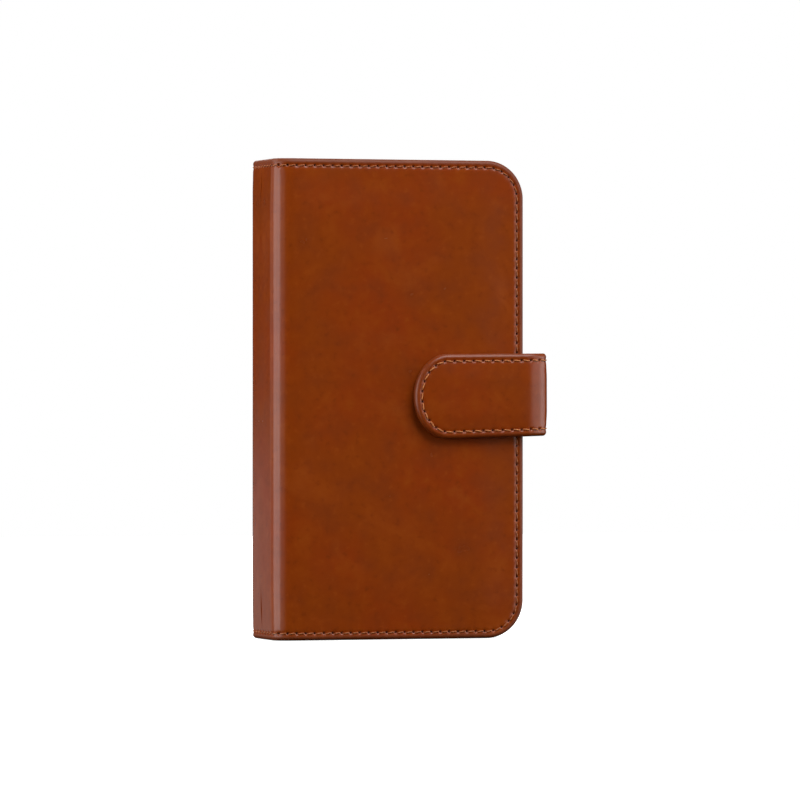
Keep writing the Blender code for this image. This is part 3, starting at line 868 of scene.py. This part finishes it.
def moulded_material():
    """Matt black moulded polyurethane."""
    n = Nodes("moulded_black")
    at = n.place()
    grain = n.noise(at, 3000.0, 3.0, 0.6)
    cloud = n.noise(at, 60.0, 3.0)
    shade = n.mix(n.spread(cloud, 0.3, 0.7), (0.010, 0.0095, 0.009), (0.016, 0.015, 0.014))
    rough = n.spread(n.math("ADD", cloud, n.math("MULTIPLY", grain, 0.5)), 0.5, 1.0, 0.40, 0.55)
    return n.set(Base_Color=shade, Roughness=rough, Normal=n.bump(grain, 0.25, 0.03 * MM),
        Specular_IOR_Level=0.45)


def two_tone(name, pattern, dark, pale, rough, bump, tone_at=(0.3, 0.7), rough_at=(0.3, 0.7),
        metallic=0.0):
    """A material with two tones, where one pattern also sets the roughness and the bump."""
    n = Nodes(name)
    value = pattern(n, n.place())
    shade = n.mix(n.spread(value, *tone_at), dark, pale)
    return n.set(Base_Color=shade, Roughness=n.spread(value, *rough_at, *rough),
        Normal=n.bump(value, *bump), Metallic=metallic)


def board_material():
    """Grey-brown fibre board."""
    return two_tone("fibre_board", lambda n, at: n.noise(at, 1500.0, 6.0, 0.75, 2.0),
        (0.24, 0.18, 0.12), (0.42, 0.34, 0.25), (0.85, 0.95), (0.4, 0.05 * MM), rough_at=(0.0, 1.0))


def foam_material():
    """Open-cell foam."""
    return two_tone("foam", lambda n, at: n.cells(at, 2200.0),
        (0.55, 0.52, 0.45), (0.78, 0.76, 0.70), (0.9, 1.0), (0.6, 0.15 * MM),
        tone_at=(0.1, 0.6), rough_at=(0.0, 1.0))


def adhesive_material():
    """A film of pale transfer adhesive."""
    return two_tone("adhesive", lambda n, at: n.noise(at, 300.0, 4.0, 0.6),
        (0.62, 0.60, 0.52), (0.78, 0.76, 0.68), (0.45, 0.65), (0.2, 0.03 * MM))


def steel_material():
    """Nickel-plated magnet."""
    return two_tone("magnet_steel", lambda n, at: n.noise(at, 900.0, 5.0, 0.7, 3.0),
        (0.55, 0.54, 0.52), (0.68, 0.67, 0.65), (0.22, 0.38), (0.1, 0.01 * MM), metallic=1.0)


# ---- Pieces ----


def settle(piece, slot, fold, *nodes):
    """Hides the CAD nodes that a piece stands for, and bakes its place into its points. slot and fold are
    not used.
    """
    if nodes:
        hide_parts(*nodes)
    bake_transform(piece)


def camera_window(section, lip=0.0):
    """The camera window in the flat cut of a layer of the back."""
    corner = high("phone_tray")
    x_middle = corner.x - WINDOW_FROM_TRAY - WINDOW_WIDTH / 2
    z_middle = corner.z - WINDOW_FROM_TRAY - WINDOW_HEIGHT / 2
    return Hole((section.total - (RIGHT - x_middle), z_middle), WINDOW_WIDTH - lip,
        WINDOW_HEIGHT - lip, WINDOW_RADIUS - lip / 2)


def sewn(names, section, cut, pitch, relief, depth, materials, slot, fold, nodes, seam_nodes,
        stitch, pick=None, stack=None, **look):
    """A sheet and its row of stitches. pick chooses the stitches' numbers, all where it is None."""
    piece, edge = sheet_piece(names[0], section, cut, pitch, relief, depth, materials[0], **look)
    settle(piece, slot, fold, *nodes)
    numbers = pick(edge) if pick else range(edge.stitches + 1)
    stitches = stitch_row(names[1], section, edge, numbers, materials[1], stack=stack, **stitch)
    settle(stitches, "thread", fold, *seam_nodes)


def without_ends(edge):
    return range(1, edge.stitches)


def front_skin(materials):
    """From the middle of the spine, round the front crease, to the cover's free edge."""
    section = soft_section(LEFT, FRONT, RIGHT, -1, SPINE_MIDDLE + LEAD, FRONT_BEND,
        (SPINE_LINING - LEFT, FRONT_LINING - FRONT))
    crease_end = section.total - (RIGHT - LEFT - bend_length(*FRONT_BEND))
    relief = Relief(0.38 * MM, crease_end - 2.0 * MM, 6.0 * MM, crown_width=16.0 * MM, seed=1.0,
        **SKIN_RELIEF)
    sewn(("case_skin_front", "case_stitches_front"), section, cover_cut(section), COVER_PITCH,
        relief, LEATHER, materials, "leather", "cover_fold", ["front_leather"],
        ["front_seam_thread", "spine_top_thread", "spine_bottom_thread"], COVER_STITCH, **COVER_SHEET)
    return section


def back_skin(materials):
    """From the middle of the spine, round the rear crease, to the cover's free edge."""
    section = round_section(LEFT, BACK, RIGHT, -1, SPINE_MIDDLE - LEAD, REAR_RADIUS,
        (SPINE_LINING - LEFT, BACK - BACK_LINING))
    crease_end = section.total - (RIGHT - LEFT - REAR_RADIUS)
    relief = Relief(0.22 * MM, crease_end - 1.0 * MM, 8.0 * MM, seed=2.0, **SKIN_RELIEF)
    sewn(("case_skin_back", "case_stitches_back"), section, cover_cut(section), COVER_PITCH,
        relief, LEATHER, materials, "leather", "spine_fold", ["back_leather", "spine_leather"],
        ["back_seam_thread"], COVER_STITCH, pick=without_ends,
        hole=camera_window(section, WINDOW_LIP), **COVER_SHEET)
    return section


def strap_lining(name, section, make_cut, seed, lining, fold, *nodes, oval=False):
    inner = section.turned(STRAP_LINING)
    cut = inside(make_cut(inner), STRAP_LINING_INSET)
    relief = Relief(0.0, seed=seed, wave=0.02 * MM, **LINING_RELIEF)
    piece, _ = sheet_piece(name, inner, cut, TAB_PITCH, relief, STRAP_LINING * LINING_SHARE, lining,
        rounding=0.3 * MM, seam=SEAM_INSET - STRAP_LINING_INSET, oval=oval, **STRAP_SHEET)
    settle(piece, "strap_lining", fold, *nodes)


def strap_front(materials, lining):
    """From the middle of the band, round the front bend, to the tab's end."""
    section = soft_section(STRAP_OUTER, TAB_OUTER, TAB_END, 1, BAND_MIDDLE + LEAD, STRAP_BEND,
        (BAND_DEPTH, low("tab_lining").y - TAB_OUTER))
    bend_end = section.total - (STRAP_OUTER - bend_length(*STRAP_BEND) - TAB_END)
    relief = Relief(0.30 * MM, bend_end - 4 * MM, 7.0 * MM, seed=3.0, **STRAP_RELIEF)
    sewn(("strap_skin_front", "strap_stitches_front"), section, tab_cut(section), TAB_PITCH, relief,
        STRAP_LEATHER, materials, "leather", "tab_fold", ["tab_leather", "band_leather"],
        ["tab_seam_thread", "band_top_thread", "band_bottom_thread"], TAB_STITCH,
        rounding=1.35 * MM, paint=0.45, oval=True, **STRAP_SHEET)
    strap_lining("strap_lining_front", section, tab_cut, 4.0, lining, "tab_fold",
        "tab_lining", "band_lining", oval=True)


def strap_rear(materials, lining):
    """From mid band, round the rear bend, to the tail. Its seam stops where it is sewn in."""
    section = round_section(STRAP_OUTER, TAIL_OUTER, TAIL_END, 1, BAND_MIDDLE - LEAD,
        BEND_REAR_RADIUS, (BAND_DEPTH, BAND_DEPTH))

    def free(edge):
        count = (section.total - 10 * MM) / edge.pitch
        return [k for k in without_ends(edge) if k < count or k > edge.stitches - count]

    relief = Relief(0.12 * MM, 0.0, 5.0 * MM, seed=5.0, **STRAP_RELIEF)
    sewn(("strap_skin_rear", "strap_stitches_rear"), section, tail_cut(section), TAB_PITCH, relief,
        STRAP_LEATHER, materials, "leather", "strap_fold", ["strap_tail"], [], TAB_STITCH,
        pick=free, rounding=0.96 * MM, paint=0.3, **STRAP_SHEET)
    strap_lining("strap_lining_rear", section, tail_cut, 6.0, lining, "strap_fold")


def pocket_lift(section, points):
    """How far the pocket panels lift the stitches that go through them."""
    x = section.read(section.face, points[:, 0])[:, 0]
    lift = np.zeros(len(points))
    for name in POCKETS:
        lift = np.where(x > low(name).x, high(name).y - high("front_lining").y, lift)
    return lift


def cover_lining(side, section, materials, fold, nodes, window=False, **sewing):
    """A cover's lining with half of the spine's, and the inner stitches of their seam."""
    inner = section.turned(LINING)
    relief = Relief(0.0, seed=7.0, wave=0.03 * MM, **LINING_RELIEF)
    sewn(("case_lining_" + side, "case_stitches_" + side + "_inside"), inner,
        inside(cover_cut(inner), LINING_INSET), COVER_PITCH, relief, LINING * LINING_SHARE,
        materials, "lining", fold, nodes, [], INSIDE_STITCH, rounding=0.3 * MM,
        seam=SEAM_INSET - LINING_INSET, hole=camera_window(inner) if window else None, **sewing,
        **THIN_SHEET)


def cover_layer(name, node, side, relief, material, *, seam, rounding):
    """A flat layer of the front cover, in the place of its CAD node."""
    lowest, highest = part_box(node)
    face, far = (highest.y, lowest.y) if side > 0 else (lowest.y, highest.y)
    start, end = lowest.x - LEAD, highest.x
    section = section_of([run((start, face), (end, face), (0, side), (start, far), (end, far))])
    radius = CORNER_RADIUS - (RIGHT - highest.x)
    cut = round_cut(section.total, lowest.z, highest.z, radius)
    piece, _ = sheet_piece(name, section, cut, COVER_PITCH, relief, abs(face - far), material,
        seam=seam, rounding=rounding, **THIN_SHEET)
    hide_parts(node)
    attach(piece, "front_cover")
    return piece


def pocket_panel(node, leather):
    """A pocket's panel, with a turned hem along its mouth and round corners at its free end."""
    mouth, right = low(node).x, high(node).x
    cover_layer(node + "_leather", node, 1, PocketRelief(right - mouth), leather,
        seam=SEAM_INSET - (RIGHT - right), rounding=0.25 * MM)


def padding_piece(foam):
    """The foam pad under the front leather, thickest in its middle."""
    relief = Relief(0.25 * MM, crown_over=8 * MM, groove=0.0, hole=0.0, seed=9.0)
    piece = cover_layer("front_padding_foam", "front_padding", -1, relief, foam,
        seam=1.0 * MM, rounding=0.3 * MM)


def cad_node(name, material, bevel=None):
    """A CAD node that stays, with a finished material and, where it shows, soft edges."""
    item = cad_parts[name]
    item.data.materials.clear()
    item.data.materials.append(material)
    if bevel:
        modifier = item.modifiers.new("soft_edges", "BEVEL")
        modifier.width = bevel
        modifier.segments = 3
        modifier.limit_method = "ANGLE"
        modifier.angle_limit = math.radians(40)
    item.data.shade_smooth()
    item.data.set_sharp_from_angle(angle=math.radians(35))


def build_case():
    leather = waxed_leather("waxed_leather")
    pocket = waxed_leather("pocket_leather", shine=0.42, grain=1.6, tint=0.9)
    lining = lining_material("microfibre", (0.085, 0.026, 0.009), (0.125, 0.042, 0.015))
    strap_nap = lining_material("strap_microfibre", (0.075, 0.023, 0.008), (0.11, 0.036, 0.013))
    cover_thread = thread_material("cover_thread", (0.46, 0.145, 0.050))
    tab_thread = thread_material("tab_thread", (0.70, 0.250, 0.080))
    lining_thread = thread_material("lining_thread", (0.42, 0.14, 0.055))

    front = front_skin((leather, cover_thread))
    back = back_skin((leather, cover_thread))
    strap_front((leather, tab_thread), strap_nap)
    strap_rear((leather, tab_thread), strap_nap)
    cover_lining("front", front, (lining, lining_thread), "cover_fold",
        ["front_lining", "spine_lining"], stack=pocket_lift)
    cover_lining("back", back, (lining, lining_thread), "spine_fold", ["back_lining"], window=True,
        pick=without_ends)
    for node in POCKETS:
        pocket_panel(node, pocket)
    padding_piece(foam_material())

    boards, steel = board_material(), steel_material()
    for node in ("front_board", "spine_board", "back_board", "tab_core"):
        cad_node(node, boards)
    for node in ("front_magnet", "tab_magnet"):
        cad_node(node, steel)
    cad_node("tray_bond_pad", adhesive_material())
    cad_node("phone_tray", moulded_material(), bevel=0.25 * MM)


# ---- Studio ----


def polar(azimuth, distance, z):
    """A place round the case: azimuth 0 is in front (-Y), 90 to its right (+X)."""
    a = math.radians(azimuth)
    return (distance * math.sin(a), -distance * math.cos(a), z)


# Soft boxes: name, place, width, height and power.
SOFT_BOXES = (
    ("left_box", polar(-76, 1.2, 0.15), 1.3, 0.9, 11.5),
    ("left_near", polar(-42, 1.5, 0.15), 0.9, 0.9, 1.8),
    ("left_far", polar(-126, 1.3, 0.15), 1.0, 0.9, 1.2),
    ("right_box", polar(76, 1.2, 0.15), 0.6, 0.9, 4.0),
    ("right_fill", polar(52, 1.3, 0.15), 0.8, 0.9, 3.5),
    ("left_high", polar(-105, 1.0, 0.95), 0.8, 0.8, 9.0),
    ("top_box", (0.4, -0.8, 1.15), 1.0, 1.0, 17.0),
    ("low_left_box", polar(-160, 1.4, -0.10), 1.0, 0.30, 0.27),
    ("back_box", polar(168, 1.4, 1.0), 0.9, 0.9, 8.0),
)
SKY, SKY_STRENGTH = (0.9, 0.95, 1.0, 1.0), 0.01
WHITE = (1.0, 1.0, 1.0)
FLOOR_SIZE, FLOOR_DROP, FLOOR_GLOW = 2.8, 0.2 * MM, 0.85

CAMERA_TURN_DEG = 17.98
CAMERA_PLACE = (-0.5938, -1.8295, 0.0778)
CAMERA_LENS = 264.6
CAMERA_SENSOR = 36.0


def area_light(name, place, width, tall, power):
    """A rectangular light that looks at the middle of the case."""
    data = bpy.data.lights.new(name, "AREA")
    data.shape = "RECTANGLE"
    data.size, data.size_y = width, tall
    data.energy = power
    item = put(name, data)
    item.location = place
    aim = Vector((0.0, 0.0, MIDDLE)) - Vector(place)
    item.rotation_euler = aim.to_track_quat("-Z", "Y").to_euler()


def surroundings():
    """A faint sky that lights the case, with white where the camera looks past it."""
    world = bpy.data.worlds.new("studio")
    world.use_nodes = True
    nodes, links = world.node_tree.nodes, world.node_tree.links
    background, seen = nodes["Background"], nodes.new("ShaderNodeBackground")
    seen.inputs["Color"].default_value = (*WHITE, 1.0)
    background.inputs["Color"].default_value = SKY
    background.inputs["Strength"].default_value = SKY_STRENGTH
    path, both = nodes.new("ShaderNodeLightPath"), nodes.new("ShaderNodeMixShader")
    links.new(path.outputs["Is Camera Ray"], both.inputs[0])
    links.new(background.outputs[0], both.inputs[1])
    links.new(seen.outputs[0], both.inputs[2])
    links.new(both.outputs[0], nodes["World Output"].inputs["Surface"])
    bpy.context.scene.world = world


def floor():
    """Pale paper, which the leather neither mirrors nor takes light from."""
    bpy.ops.mesh.primitive_plane_add(size=FLOOR_SIZE, location=(0.0, 0.0, -FLOOR_DROP))
    item = bpy.context.object
    item.name = "floor"
    n = Nodes("floor_paper")
    fleck = n.noise(n.place(), 900.0, 3.0)
    shade = n.mix(n.spread(fleck, 0.3, 0.7), (0.90, 0.90, 0.90), (0.93, 0.93, 0.93))
    item.data.materials.append(n.set(Base_Color=shade, Roughness=0.9, Specular_IOR_Level=0.1,
        Emission_Color=WHITE, Emission_Strength=FLOOR_GLOW))
    item.visible_glossy = False
    item.visible_diffuse = False


def studio():
    bpy.context.scene.view_settings.view_transform = "Standard"
    surroundings()
    floor()
    for box in SOFT_BOXES:
        area_light(*box)


def camera():
    data = bpy.data.cameras.new("camera")
    data.lens = CAMERA_LENS
    data.sensor_width = CAMERA_SENSOR
    data.clip_start, data.clip_end = 0.05, 20.0
    item = put("camera", data)
    item.location = CAMERA_PLACE
    item.rotation_euler = (math.pi / 2, 0.0, -math.radians(CAMERA_TURN_DEG))
    bpy.context.scene.camera = item


build_case()
studio()
camera()
